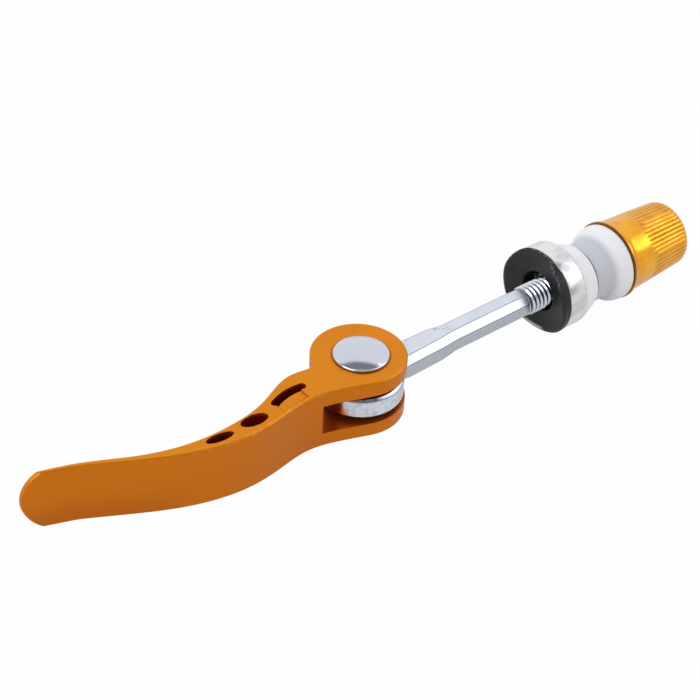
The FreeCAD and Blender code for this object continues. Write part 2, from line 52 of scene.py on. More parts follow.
# Eye bolt: one forging of round bar, bright zinc plated. Its flat eye takes the pivot pin, and
# the wide neck narrows into an eight-sided shank. The rounded edges are painted darker. Painted
# shade darkens the upright flanks, the eye's upper edge on one side and the shank inside the
# thread. The plate has fine marks along the bar and forging scale at the eye and the neck's end.
MM = 0.001
FORGED_EDGE = 0.17 * MM
ZINC_BRIGHT = (0.72, 0.77, 0.87)
ZINC_SOFT = (0.68, 0.72, 0.82)
ZINC_FLANK_SHADE = (0.52, 0.55, 0.61)
ZINC_DARK = (0.20, 0.21, 0.24)
EYE_SHADE = (0.07, 0.075, 0.085)
EYE_FADE = (7.2, 8.8)
EYE_SHADE_LEVEL = (1.6, 1.8)
EYE_SHADE_REACH = (3.0, 6.0)
NECK_END = 20.0
NECK_MARK = 2.2
THREAD_START = 40.0
CORE_SHADE_FADE = (40.8, 41.3)
SAME_POINT = 0.0005 * MM


class Value:
    """One output of a node, so that shader maths can be written as plain arithmetic."""

    def __init__(self, finish, socket):
        self.finish = finish
        self.socket = socket

    def math(self, operation, first, second):
        return self.finish.node("ShaderNodeMath", {"operation": operation}, {0: first, 1: second})

    def __add__(self, other):
        return self.math("ADD", self, other)

    def __radd__(self, other):
        return self.math("ADD", other, self)

    def __sub__(self, other):
        return self.math("SUBTRACT", self, other)

    def __rsub__(self, other):
        return self.math("SUBTRACT", other, self)

    def __mul__(self, other):
        return self.math("MULTIPLY", self, other)

    def __rmul__(self, other):
        return self.math("MULTIPLY", other, self)

    def __truediv__(self, other):
        return self.math("DIVIDE", self, other)

    def __rtruediv__(self, other):
        return self.math("DIVIDE", other, self)

    def larger(self, other):
        return self.math("MAXIMUM", self, other)

    def near(self, middle, reach):
        """1 at a middle value, fading to 0 at a reach on either side of it."""
        off = (self - middle) / reach
        return 1 - (off * off).step(0.1, 1.0)

    def step(self, low, high):
        """Smooth change from 0 at low to 1 at high."""
        return self.finish.node("ShaderNodeMapRange", {"interpolation_type": "SMOOTHSTEP"},
                                {"Value": self, "From Min": low, "From Max": high})


class Finish:
    """The node tree of one finish."""

    def __init__(self, tree):
        self.tree = tree

    def node(self, kind, settings=None, sockets=None, output=0):
        """Adds a node: its settings first, then the values or links of its sockets. The output that
        is wanted is given by number or name."""
        made = self.tree.nodes.new(kind)
        for name, setting in (settings or {}).items():
            setattr(made, name, setting)
        for key, given in (sockets or {}).items():
            if isinstance(given, Value):
                self.tree.links.new(given.socket, made.inputs[key])
            else:
                made.inputs[key].default_value = given
        return Value(self, made.outputs[output])

    def place(self, stretch=(1, 1, 1)):
        """Object coordinates in millimetres, stretched along the piece's axes."""
        spot = self.node("ShaderNodeTexCoord", output="Object")
        scale = [amount / MM for amount in stretch]
        return self.node("ShaderNodeVectorMath", {"operation": "MULTIPLY"}, {0: spot, 1: scale})

    def axes(self, spot):
        """The three parts of a vector."""
        return [self.node("ShaderNodeSeparateXYZ", None, {0: spot}, output=part) for part in range(3)]

    def grain(self, spot, scale, detail=2.0, roughness=0.5):
        """Noise from 0 to 1 over a place in millimetres, scale features to the millimetre."""
        return self.node("ShaderNodeTexNoise", None, {
            "Vector": spot, "Scale": scale, "Detail": detail, "Roughness": roughness})

    def painted(self, name):
        """A value held by the piece's own mesh."""
        return self.node("ShaderNodeAttribute", {"attribute_name": name}, output="Fac")

    def blend(self, amount, first, second):
        """Colour between two colours."""
        first = first if isinstance(first, Value) else (*first, 1)
        second = second if isinstance(second, Value) else (*second, 1)
        return self.node("ShaderNodeMix", {"data_type": "RGBA"},
                         {0: amount, 6: first, 7: second}, output=2)

    def relief(self, height, depth, strength=1.0):
        """Normal of a relief whose full height stands for a depth in millimetres."""
        return self.node("ShaderNodeBump", None, {
            "Strength": strength, "Distance": depth * MM, "Height": height})


def new_finish(name, constants, varying):
    """Material with one shader: constants sit on its sockets, varying(finish) gives the links."""
    material = bpy.data.materials.new(name)
    material.use_nodes = True
    finish = Finish(material.node_tree)
    shader = material.node_tree.nodes["Principled BSDF"]
    for socket, number in constants.items():
        shader.inputs[socket].default_value = number
    for socket, given in varying(finish).items():
        material.node_tree.links.new(given.socket, shader.inputs[socket])
    return material


def only(piece):
    """Makes a piece the one selected object."""
    bpy.ops.object.select_all(action="DESELECT")
    bpy.context.view_layer.objects.active = piece
    piece.select_set(True)


def round_edges(piece, width, sharp, segments):
    """Rounds every edge that turns by more than an angle, and paints the rounded faces as edge."""
    only(piece)
    piece.data.materials.append(None)
    piece.data.materials.append(None)
    rounding = piece.modifiers.new("rounding", "BEVEL")
    rounding.width = width
    rounding.segments = segments
    rounding.limit_method = "ANGLE"
    rounding.angle_limit = math.radians(sharp)
    rounding.material = 1
    bpy.ops.object.modifier_apply(modifier=rounding.name)
    paint = piece.data.attributes.new("edge", "FLOAT", "FACE")
    for face in piece.data.polygons:
        paint.data[face.index].value = face.material_index
        face.material_index = 0
    bpy.ops.object.shade_smooth_by_angle(angle=math.radians(40))
    weighting = piece.modifiers.new("weighting", "WEIGHTED_NORMAL")
    weighting.keep_sharp = True
    bpy.ops.object.modifier_apply(modifier=weighting.name)


def soft_edged_copy(node, name, width, sharp=25, segments=3):
    """The node's own shape with its flat facets joined and its edges rounded."""
    piece = bpy.data.objects.new(name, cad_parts[node].data.copy())
    bpy.context.scene.collection.objects.link(piece)
    piece.data.materials.clear()
    only(piece)
    bpy.ops.object.mode_set(mode="EDIT")
    bpy.ops.mesh.select_all(action="SELECT")
    bpy.ops.mesh.remove_doubles(threshold=SAME_POINT)
    bpy.ops.mesh.dissolve_limited(angle_limit=math.radians(0.3))
    bpy.ops.object.mode_set(mode="OBJECT")
    round_edges(piece, width, sharp, segments)
    return piece


def paint_flanks(piece):
    """Paints each face by how upright it stands, for the painted shade on the flanks."""
    paint = piece.data.attributes.new("flank_shade", "FLOAT", "FACE")
    for face in piece.data.polygons:
        paint.data[face.index].value = 1 - abs(face.normal.z)


def dress(piece, material, body, slot, *nodes):
    """Gives a piece its finish and the body it rides on, in place of the nodes it stands for."""
    piece.data.materials.clear()
    piece.data.materials.append(material)
    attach(piece, body)
    if nodes:
        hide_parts(*nodes)


def zinc_plate(finish):
    spot = finish.place()
    along, side, level = finish.axes(spot)
    cloud = finish.grain(spot, 0.3, 2.0)
    mottle = finish.grain(spot, 0.9, 4.0, 0.65).step(0.45, 0.7)
    marks = finish.grain(finish.place((0.05, 1, 1)), 4.0, 3.0, 0.6)
    pits = finish.grain(spot, 1.7, 2.0).step(0.57, 0.66)
    # The rounded edges are darkened in broken streaks.
    edge_mark = finish.painted("edge") * (0.35 + 0.5 * marks)
    # Painted shade: the shank is darkened where it runs on inside the thread.
    core_shade = along.step(*CORE_SHADE_FADE)
    eye = 1 - along.step(*EYE_FADE)
    forged = (pits * (0.06 + 0.6 * along.near(NECK_END, NECK_MARK))).larger(eye * mottle * 0.4)
    # Painted shade: the upright flanks are darker; the eye is left out.
    flank_shade = finish.painted("flank_shade").step(0.5, 0.9) * (1 - eye)
    tint = finish.blend(cloud.step(0.3, 0.75), ZINC_BRIGHT, ZINC_SOFT)
    tint = finish.blend(flank_shade, tint, ZINC_FLANK_SHADE)
    # Painted shade: the eye's upper edge is darkened on one side, under the upper ear.
    eye_shade = level.step(*EYE_SHADE_LEVEL) * eye * (1 - (along - side * 0.8).step(*EYE_SHADE_REACH))
    tint = finish.blend(eye_shade * (0.6 + 0.4 * mottle), tint, EYE_SHADE)
    return {
        "Base Color": finish.blend(edge_mark.larger(core_shade).larger(forged), tint, ZINC_DARK),
        "Roughness": 0.12 + 0.08 * cloud + 0.08 * marks,
        "Normal": finish.relief(cloud * 0.7 + marks * 0.3 - pits * 0.2, 0.012, 0.5),
    }


zinc = new_finish("bright_zinc_plate", {"Metallic": 1.0}, zinc_plate)
bolt = soft_edged_copy("eye_bolt", "forged_eye_bolt", FORGED_EDGE)
paint_flanks(bolt)
dress(bolt, zinc, "bolt", "bolt_zinc", "eye_bolt")


# Thread: the bolt's far end is rolled with an M6 thread, one millimetre to the turn, in the
# same zinc plate. The first turn fades in where the shank's flats run out, and the valleys carry
# painted shade.
THREAD_TURNS = 23
THREAD_PITCH = 1.0
THREAD_STEPS = 48
THREAD_ROOT = 2.42
THREAD_SHADE_END = 2.8
THREAD_SECTION = ((0.0, THREAD_ROOT), (0.29, 2.93), (0.38, 3.0), (0.47, 2.93), (0.76, THREAD_ROOT))
THREAD_FADE = 1.1
THREAD_VALLEY_SHADE = (0.05, 0.055, 0.065)


def draw_wire(name, points):
    """One vertex extruded from point to point, as a wire to spin."""
    bpy.ops.object.select_all(action="DESELECT")
    bpy.ops.mesh.primitive_plane_add(size=MM)
    piece = bpy.context.object
    piece.name = name
    bpy.ops.object.mode_set(mode="EDIT")
    bpy.ops.mesh.merge(type="CENTER")
    bpy.ops.transform.translate(value=points[0])
    for start, stop in zip(points, points[1:]):
        bpy.ops.mesh.extrude_region_move(TRANSFORM_OT_translate={"value": stop - start})
    bpy.ops.mesh.select_all(action="SELECT")
    return piece


def close_shell(keep_open=False):
    """Merges the doubles of a spun wire, caps its ends and turns its faces outwards."""
    bpy.ops.mesh.select_all(action="SELECT")
    bpy.ops.mesh.remove_doubles(threshold=SAME_POINT)
    if not keep_open:
        bpy.ops.mesh.fill_holes(sides=12)
    bpy.ops.mesh.select_all(action="SELECT")
    bpy.ops.mesh.normals_make_consistent(inside=False)
    bpy.ops.object.mode_set(mode="OBJECT")


ridge = [Vector((THREAD_START + along, 0, radius)) * MM for along, radius in THREAD_SECTION]
thread = draw_wire("rolled_thread", ridge + ridge[:1])
bpy.ops.mesh.remove_doubles(threshold=SAME_POINT)
bpy.ops.object.mode_set(mode="OBJECT")
winding = thread.modifiers.new("winding", "SCREW")
winding.axis = "X"
winding.screw_offset = THREAD_PITCH * MM
winding.iterations = THREAD_TURNS
winding.steps = THREAD_STEPS
winding.render_steps = THREAD_STEPS
winding.use_merge_vertices = False
bpy.ops.object.modifier_apply(modifier=winding.name)
bpy.ops.object.mode_set(mode="EDIT")
close_shell()
for point in thread.data.vertices:
    radius = math.hypot(point.co.y, point.co.z)
    shown = min(1.0, max(0.0, (point.co.x / MM - THREAD_START) / THREAD_FADE))
    wanted = THREAD_ROOT * MM + (radius - THREAD_ROOT * MM) * shown
    point.co.y *= wanted / radius
    point.co.z *= wanted / radius
only(thread)
bpy.ops.object.shade_smooth_by_angle(angle=math.radians(35))


def shaded_thread_zinc(finish):
    spot = finish.place()
    side, level = finish.axes(spot)[1:]
    marks = finish.grain(spot, 4.0, 3.0, 0.6)
    # Painted shade in the valleys, fading out towards the crests.
    crest = (side * side + level * level).step(THREAD_ROOT ** 2, THREAD_SHADE_END ** 2)
    return {
        "Base Color": finish.blend(crest, THREAD_VALLEY_SHADE, ZINC_BRIGHT),
        "Roughness": 0.14 + 0.16 * marks,
        "Normal": finish.relief(marks, 0.01, 0.5),
    }


thread_zinc = new_finish("zinc_plate_with_valley_shade", {"Metallic": 1.0}, shaded_thread_zinc)
dress(thread, thread_zinc, "bolt", "bolt_zinc")


# Lever: machined from aluminium bar, blasted and anodised orange. The forked head is the cam,
# and the S-shaped blade has three cut-outs and a shallow ledge beside the curved one.
# Painted shade darkens the flanks, most towards their bottom and the blade's end, and the walls
# of the cut-outs and the fork slot; it also draws a line along the ledge and a ring round the
# pin's head. A painted highlight runs along the edges, and the blasted skin has a fine grain.
LEVER_EDGE = 0.1 * MM
LEVER_ORANGE = (0.77, 0.255, 0.004)
LEVER_AMBER = (0.74, 0.235, 0.003)
LEVER_FLANK_SHADE = (0.65, 0.182, 0.003)
LEVER_LOW_SHADE = (0.47, 0.115, 0.002)
LEVER_GLINT = (0.97, 0.52, 0.10)
LEVER_SHADE = (0.48, 0.03, 0.008)
LEVER_LINE = (0.30, 0.06, 0.004)
CUT_OUTS = ((-26.4, -2.95, 3.0, 1.62), (-33.9, -3.1, 3.0, 1.22), (-17.4, -0.75, 4.7, 1.55))
LEVER_TOP = 6.25
LEDGE_INNER = Vector((-14.8, -3.45))
LEDGE_OUTER = Vector((-20.95, -4.2))
LEDGE_DEPTH = 0.35
LEDGE_BACK = (-2.5, -2.2)
LINE_WIDTH = 0.14
LINE_FADE = 0.1
RIVET_REACH = 5.3
RIVET_RING = 4.0
SLOT_WALL = (3.2, 3.35)
SLOT_ROOT = (-12.5, -12.25)
BLADE_FADE = (-52.0, -34.0)
FLANK_PALE = 1.0
GLINT_MIDDLE = -25.0
GLINT_REACH = 18.0


def orange_anodising(finish):
    spot = finish.place()
    across, side, level = finish.axes(spot)
    # Painted shade on the walls of the cut-outs, below the top face.
    inside = None
    for reach, offset, half_length, half_width in CUT_OUTS:
        run = (across - reach) / half_length
        rise = (side - offset) / half_width
        within = 1 - (run * run + rise * rise).step(1.0, 1.35)
        inside = within if inside is None else inside.larger(within)
    floor = LEVER_TOP - LEDGE_DEPTH
    between = 1 - level.step(floor - LEDGE_DEPTH, floor - LINE_FADE / 2)
    between = between * level.step(-LEVER_TOP + LINE_FADE, -floor)
    # Painted shade: a dark line along the ledge's near edge and across its outer end.
    slope = (LEDGE_INNER - LEDGE_OUTER).y / (LEDGE_INNER - LEDGE_OUTER).x
    near_line = (side - across * slope).near(LEDGE_OUTER.y - LEDGE_OUTER.x * slope, LINE_WIDTH)
    near_line = near_line * across.step(LEDGE_OUTER.x - LINE_FADE, LEDGE_OUTER.x)
    near_line = near_line * (1 - across.step(LEDGE_INNER.x, LEDGE_INNER.x + LINE_FADE))
    end_line = across.near(LEDGE_OUTER.x, LINE_WIDTH)
    end_line = end_line * side.step(LEDGE_OUTER.y - LINE_FADE, LEDGE_OUTER.y)
    end_line = end_line * (1 - side.step(*LEDGE_BACK))
    outline = near_line.larger(end_line) * level.step(floor - LINE_FADE, floor - LINE_FADE / 2)
    # Painted shadow: a dark ring on the top face round the pin's head.
    around = (across * across + side * side).near(RIVET_REACH ** 2, RIVET_RING)
    outline = outline.larger(around * level.step(floor, LEVER_TOP) * 0.8)
    cloud = finish.grain(spot, 0.1, 2.0)
    skin = finish.grain(spot, 9.0, 2.0)
    glint_breaks = finish.grain(spot, 1.4, 4.0, 0.7)
    orange = finish.blend(cloud.step(0.3, 0.75), LEVER_ORANGE, LEVER_AMBER)
    # Painted shade: the flanks are darker than the top, most towards the bottom and blade's end.
    low_shade = (1 - level.step(-LEVER_TOP, FLANK_PALE)) * (1 - across.step(*BLADE_FADE))
    flank_shade = finish.blend(low_shade * 0.6, LEVER_FLANK_SHADE, LEVER_LOW_SHADE)
    orange = finish.blend(finish.painted("flank_shade"), orange, flank_shade)
    # Painted highlight: a broken bright line on the rounded edges, strongest near the cut-outs.
    edge_mark = finish.painted("edge") * glint_breaks.step(0.45, 0.62)
    edge_mark = edge_mark * (0.25 + 0.55 * across.near(GLINT_MIDDLE, GLINT_REACH))
    orange = finish.blend(edge_mark, orange, LEVER_GLINT)
    orange = finish.blend(outline * 0.8, orange, LEVER_LINE)
    # Painted shade on the walls and floor of the fork slot.
    slot = 1 - (level * level).step(*(height ** 2 for height in SLOT_WALL))
    slot = slot * across.step(*SLOT_ROOT)
    orange = finish.blend(slot * 0.55, orange, LEVER_SHADE)
    return {
        "Base Color": finish.blend(inside * between, orange, LEVER_SHADE),
        "Roughness": 0.36 + 0.06 * cloud + 0.06 * skin,
        "Normal": finish.relief(skin, 0.010, 0.5),
    }


anodised = new_finish("orange_anodising", {
    "Metallic": 0.88, "Coat Weight": 0.05, "Coat Roughness": 0.22}, orange_anodising)
lever = soft_edged_copy("lever", "cam_lever", LEVER_EDGE, 30, 2)
paint_flanks(lever)
dress(lever, anodised, "lever", "lever_anodised", "lever")


# Pivot pin: a headed steel rivet, polished and nickel plated. Its low dome sits on the upper ear
# with a rounded rim, and the plain end is peened over under the lower ear.
PIN_DOME = ((7.95, 0.0), (7.94, 0.5), (7.905, 1.0), (7.85, 1.5), (7.77, 2.0), (7.665, 2.5),
            (7.54, 3.0), (7.385, 3.5), (7.205, 4.0), (7.0, 4.5), (6.86, 4.8))
PIN_RIM = ((6.78, 4.98), (6.7, 5.12), (6.6, 5.2), (6.5, 5.22), (6.38, 5.2), (6.3, 5.12))
PIN_STEM = ((6.3, 2.5), (-6.3, 2.5))
PIN_PEENED = ((-6.3, 3.5), (-6.5, 3.55), (-6.85, 3.2), (-7.05, 2.5), (-7.1, 1.4), (-7.1, 0.0))
PIN_STEPS = 96
PIN_BRIGHT = (0.67, 0.70, 0.80)
PIN_CLOUD = (0.60, 0.63, 0.73)


def lathe(name, section, steps, rise=0.0, axis=(1, 0, 0), out=(0, 0, 1)):
    """A turned piece: its half section, given as distance along the axis and radius, is spun round
    in steps. The axis is the bolt's own or one that lies a rise above it."""
    centre = Vector((0, 0, rise)) * MM
    points = [centre + (Vector(axis) * along + Vector(out) * radius) * MM for along, radius in section]
    piece = draw_wire(name, points)
    bpy.ops.mesh.spin(steps=steps, angle=math.tau, center=centre, axis=axis)
    close_shell(keep_open=True)
    only(piece)
    bpy.ops.object.shade_smooth_by_angle(angle=math.radians(40))
    return piece


def nickel_plate(finish):
    spot = finish.place()
    cloud = finish.grain(spot, 0.5, 3.0)
    scuffs = finish.grain(finish.place((1, 0.15, 1)), 6.0, 3.0, 0.65)
    return {
        "Base Color": finish.blend(cloud, PIN_BRIGHT, PIN_CLOUD),
        "Roughness": 0.07 + 0.05 * cloud + 0.05 * scuffs,
        "Normal": finish.relief(cloud * 0.8 + scuffs * 0.1, 0.02, 0.4),
    }


nickel = new_finish("polished_nickel", {"Metallic": 1.0}, nickel_plate)
pin_section = PIN_DOME + PIN_RIM + PIN_STEM + PIN_PEENED
pin = lathe("pivot_rivet", pin_section, PIN_STEPS, axis=(0, 0, 1), out=(1, 0, 0))
dress(pin, nickel, "lever", "pin_steel", "pivot_pin")


# Cam saddle: a moulded disc of black plastic that carries the cam in a trough across it, between
# two flat lands. A collar behind it turns in the cup washer. The lands carry painted light, one
# land has paler grey streaks, the rim is paler here and there, a painted reflection lies on the
# rim at the trough's lower end, and the faces have a fine moulded grain.
SADDLE_SEAT = 45.1
SADDLE_RADIUS = 8.87
RIM_DEPTH = 0.33
RIM_WIDTH = 1.1
RIM_STEPS = 8
SADDLE_STEPS = 160
PRESS_LIMIT = 45.44
SADDLE_RISE = 0.75
SADDLE_TURN = math.radians(-16)
TROUGH_HALF = 7.975
TROUGH_RADIUS = 23.4
SADDLE_BORE = ((48.05, 4.1), (45.35, 4.1), (45.18, 4.17))
SADDLE_FACE = tuple((SADDLE_SEAT, radius) for radius in (4.35, 5.2, 6.0, 6.8, 7.4))
SADDLE_BACK = ((45.45, 8.85), (45.45, 5.2), (47.9, 5.2), (48.05, 5.05), (48.05, 4.1))
SADDLE_BLACK = (0.009, 0.009, 0.010)
SADDLE_CLOUD = (0.020, 0.020, 0.023)
SADDLE_PALE = (0.17, 0.17, 0.185)
SADDLE_GLARE = (0.52, 0.52, 0.54)
FRONT_FADE = (45.3, 45.4)
PALE_REACH = (-5.6, -4.4)
PALE_RISE = (1.8, 3.2)
PALE_INNER = (7.5, 8.1)
PALE_OUTER = (8.55, 8.7)
RIM_INNER = (8.5, 8.68)
GLARE_INNER = (7.75, 8.0)
GLARE_OUTER = (8.62, 8.74)
GLARE_RISE = (-7.4, -6.4)
GLARE_REACH = (-0.5, 1.0)
LAND_INNER = (7.5, 8.1)

rim = []
for part in range(RIM_STEPS + 1):
    turn = math.pi / 2 / RIM_STEPS * part
    rim.append((SADDLE_SEAT + RIM_DEPTH * (1 - math.cos(turn)),
                SADDLE_RADIUS - RIM_WIDTH * (1 - math.sin(turn))))
saddle_section = SADDLE_BORE + SADDLE_FACE + tuple(rim) + SADDLE_BACK
saddle = lathe("moulded_saddle", saddle_section, SADDLE_STEPS, SADDLE_RISE)
saddle_centre = Vector((0, 0, SADDLE_RISE)) * MM
trough_side = Vector((0, math.cos(SADDLE_TURN), math.sin(SADDLE_TURN)))
bpy.ops.object.mode_set(mode="EDIT")
for side in (-TROUGH_HALF, TROUGH_HALF):
    bpy.ops.mesh.select_all(action="SELECT")
    bpy.ops.mesh.bisect(plane_co=saddle_centre + trough_side * side * MM, plane_no=trough_side)
bpy.ops.object.mode_set(mode="OBJECT")
for point in saddle.data.vertices:
    reach = min(abs((point.co - saddle_centre).dot(trough_side)) / MM, TROUGH_HALF)
    if point.co.x / MM < PRESS_LIMIT:
        point.co.x -= (TROUGH_RADIUS - math.sqrt(TROUGH_RADIUS ** 2 - reach ** 2)) * MM
only(saddle)
bpy.ops.object.shade_smooth_by_angle(angle=math.radians(12.5))


def black_plastic(finish):
    spot = finish.place()
    along, side, level = finish.axes(spot)
    level = level - SADDLE_RISE
    reach = side * math.cos(SADDLE_TURN) + level * math.sin(SADDLE_TURN)
    rise = level * math.cos(SADDLE_TURN) - side * math.sin(SADDLE_TURN)

    def past(limits, square=side * side + level * level):
        """1 where the square is past that of the second limit, 0 short of the first."""
        return square.step(limits[0] ** 2, limits[1] ** 2)

    cloud = finish.grain(spot, 0.4, 4.0, 0.6)
    skin = finish.grain(spot, 7.0, 2.0)
    broken = finish.grain(spot, 1.6, 4.0, 0.7).step(0.48, 0.62)
    streak = finish.grain(finish.place((1, 1, 0.35)), 2.2, 3.0, 0.6).step(0.45, 0.62)
    # Paler grey streaks on one land near the rim, and pale spots along the rest of the rim.
    pale_side = 1 - reach.step(*PALE_REACH)
    band = past(PALE_INNER) * (1 - past(PALE_OUTER)) * pale_side * rise.step(*PALE_RISE)
    rim_pale = past(RIM_INNER) * (1 - pale_side) * broken
    pale_marks = (band * streak).larger(rim_pale) * (1 - along.step(*FRONT_FADE))
    # Painted reflection: a pale grey patch on the rim at the trough's lower end.
    glare = past(GLARE_INNER) * (1 - past(GLARE_OUTER))
    glare = glare * (1 - rise.step(*GLARE_RISE)) * reach.step(*GLARE_REACH)
    # Painted light: the flat lands are a little lighter than the trough.
    land = past(LAND_INNER, reach * reach) * 0.6
    tint = finish.blend(cloud.step(0.4, 0.75).larger(land), SADDLE_BLACK, SADDLE_CLOUD)
    return {
        "Base Color": finish.blend(glare, finish.blend(pale_marks, tint, SADDLE_PALE), SADDLE_GLARE),
        "Roughness": 0.34 + 0.14 * cloud,
        "Normal": finish.relief(skin * 0.5 + cloud * 0.5, 0.02, 0.5),
    }


plastic = new_finish("black_moulded_plastic", {
    "Metallic": 0.0, "Specular IOR Level": 0.3}, black_plastic)
dress(saddle, plastic, "saddle", "saddle_plastic", "cam_saddle")


# Cup washer: a ring turned from aluminium and polished, which backs the saddle and holds its
# collar. It hangs a little off the bolt's line, as its wide bore lets it.
CUP_RISE = SADDLE_RISE
WASHER_STEPS = 128
CUP_SECTION = ((45.5, 5.3), (49.85, 5.3), (49.85, 8.42), (49.8, 8.58), (49.68, 8.70), (49.5, 8.745),
               (45.85, 8.745), (45.67, 8.70), (45.55, 8.58), (45.5, 8.42), (45.5, 5.3))
CUP_BRIGHT = (0.80, 0.815, 0.835)
CUP_DULL = (0.62, 0.64, 0.66)
CUP_EDGE = (0.30, 0.31, 0.33)
CUP_BACK = 49.78
CUP_LINE = 0.16


def polished_aluminium(finish):
    spot = finish.place()
    along = finish.axes(spot)[0]
    cloud = finish.grain(finish.place((0.35, 1, 1)), 0.33, 2.0)
    turning = finish.grain(finish.place((1, 0.02, 0.02)), 12.0, 2.0)
    tint = finish.blend(cloud.step(0.42, 0.66), CUP_BRIGHT, CUP_DULL)
    # The back edge is darkened in a thin line.
    return {
        "Base Color": finish.blend(along.near(CUP_BACK, CUP_LINE), tint, CUP_EDGE),
        "Roughness": 0.12 + 0.14 * cloud,
        "Normal": finish.relief(cloud * 0.85 + turning * 0.15, 0.04, 0.5),
    }


aluminium = new_finish("polished_aluminium", {"Metallic": 1.0}, polished_aluminium)
cup = lathe("turned_cup_washer", CUP_SECTION, WASHER_STEPS, CUP_RISE)
dress(cup, aluminium, "cup", "cup_aluminium", "cup_washer")


# Nylon spacer: moulded white nylon, widest against the cup washer and rounding away to the
# clamp's side. The moulding is smooth and lets a little light in. Painted shade draws a dark line
# at the joint with the bush and greys the bush's neck.
SPACER_SECTION = ((49.9, 3.4), (54.85, 3.4), (55.0, 3.55), (55.0, 6.45), (54.9, 6.68), (54.6, 6.85),
                  (54.0, 7.08), (53.1, 7.42), (52.2, 7.78), (51.4, 8.08), (50.8, 8.23), (50.3, 8.29),
                  (50.05, 8.26), (49.93, 8.18), (49.9, 8.05), (49.9, 3.4))
NYLON_WHITE = (0.96, 0.945, 0.98)
NYLON_WARM = (0.93, 0.915, 0.955)
NYLON_SEAM_SHADE = (0.12, 0.13, 0.16)
NYLON_NECK_SHADE = (0.55, 0.57, 0.64)
JOINT_START = (55.0, 55.05)
JOINT_END = (55.5, 55.85)
NECK_SHADE_FADE = (59.6, 61.2)


def natural_nylon(finish):
    spot = finish.place()
    along = finish.axes(spot)[0]
    cloud = finish.grain(spot, 0.25, 3.0)
    skin = finish.grain(spot, 5.0, 2.0)
    tint = finish.blend(cloud.step(0.35, 0.7), NYLON_WHITE, NYLON_WARM)
    beyond = along.step(*JOINT_START)
    # Painted shade: the bush's neck is greyed, fading out towards the flange.
    neck = beyond * (1 - along.step(*NECK_SHADE_FADE))
    # Painted shade: a dark line at the joint of spacer and bush.
    seam = beyond * (1 - along.step(*JOINT_END))
    tint = finish.blend(neck * 0.8, tint, NYLON_NECK_SHADE)
    return {
        "Base Color": finish.blend(seam, tint, NYLON_SEAM_SHADE),
        "Roughness": 0.42 + 0.12 * cloud,
        "Normal": finish.relief(skin, 0.01, 0.4),
    }


nylon = new_finish("natural_nylon", {
    "Metallic": 0.0, "Subsurface Weight": 0.15, "Subsurface Scale": 1.0 * MM,
    "Subsurface Radius": (1.0, 1.0, 1.0)}, natural_nylon)
spacer = lathe("tapered_nylon_spacer", SPACER_SECTION, WASHER_STEPS)
dress(spacer, nylon, "cup", "white_nylon", "nylon_spacer")


# Nylon bush: the same nylon, moulded as a top hat. The neck swells in a hollow curve into a
# round-edged flange that backs the nut. It hangs a little low on the bolt, as its bore lets it.
BUSH_BORE = ((55.05, 3.4), (63.9, 3.4))
BUSH_FLANGE = ((63.9, 7.5), (63.87, 7.65), (63.75, 7.78), (63.5, 7.85), (62.9, 7.85), (62.3, 7.81),
               (61.75, 7.7), (61.35, 7.53), (61.08, 7.32), (60.85, 7.05))
BUSH_NECK = ((60.6, 6.76), (60.2, 6.5), (59.7, 6.3), (59.1, 6.17), (58.4, 6.11), (57.5, 6.1),
             (55.3, 6.1), (55.12, 6.03), (55.05, 5.88), (55.05, 3.4))
BUSH_DROP = -0.1
bush = lathe("nylon_top_hat_bush", BUSH_BORE + BUSH_FLANGE + BUSH_NECK, WASHER_STEPS, BUSH_DROP)
dress(bush, nylon, "bush", "white_nylon", "nylon_bush")


# Nut: a closed cap turned from aluminium, polished and anodised gold-orange. A thin lip and a
# hollow flare face the bush, and straight ribs are rolled along the tapered body to its round end.
NUT_BORE = ((74.95, 0.0), (74.95, 2.55), (63.95, 2.55))
NUT_RIM = ((63.95, 7.85), (64.0, 8.02), (64.12, 8.1), (64.6, 8.1), (64.72, 8.05), (64.8, 7.93))
NUT_FLARE = ((64.95, 7.8), (65.3, 7.69), (65.8, 7.62), (66.4, 7.585), (68.6, 7.465), (69.6, 7.41),
             (70.1, 7.385))
NUT_BODY = ((70.4, 7.365), (72.0, 7.262), (75.0, 7.071), (78.0, 6.88), (79.6, 6.779))
NUT_END = ((80.05, 6.71), (80.4, 6.55), (80.7, 6.25), (80.88, 5.85), (80.95, 5.3), (80.95, 2.0),
           (80.95, 0.0))
RIB_COUNT = 48
RIB_STEPS = 6
RIB_START = 70.2
RIB_END = 80.5
RIB_DEPTH = 0.13
RIB_FLOOR = 6.0
RIB_HOLLOWS = {0: 1.0, 1: 0.5, RIB_STEPS - 1: 0.5}
NUT_GOLD = (0.93, 0.44, 0.014)
NUT_AMBER = (0.86, 0.34, 0.008)
NUT_SHADE = (0.20, 0.05, 0.003)
LIP_LINE = (63.98, 0.3)
FOOT_LINE = (64.98, 0.25)

nut_section = NUT_BORE + NUT_RIM + NUT_FLARE + NUT_BODY + NUT_END
nut = lathe("knurled_cap_nut", nut_section, RIB_COUNT * RIB_STEPS)
step_angle = math.tau / (RIB_COUNT * RIB_STEPS)
paint = nut.data.attributes.new("groove", "FLOAT", "POINT")
for point in nut.data.vertices:
    radius = math.hypot(point.co.y, point.co.z)
    column = round(math.atan2(point.co.y, point.co.z) / step_angle) % RIB_STEPS
    hollow = RIB_HOLLOWS.get(column, 0.0)
    if RIB_START < point.co.x / MM < RIB_END and radius > RIB_FLOOR * MM and hollow:
        shrink = (radius - RIB_DEPTH * hollow * MM) / radius
        point.co.y *= shrink
        point.co.z *= shrink
        paint.data[point.index].value = hollow
only(nut)
bpy.ops.object.shade_smooth_by_angle(angle=math.radians(32))


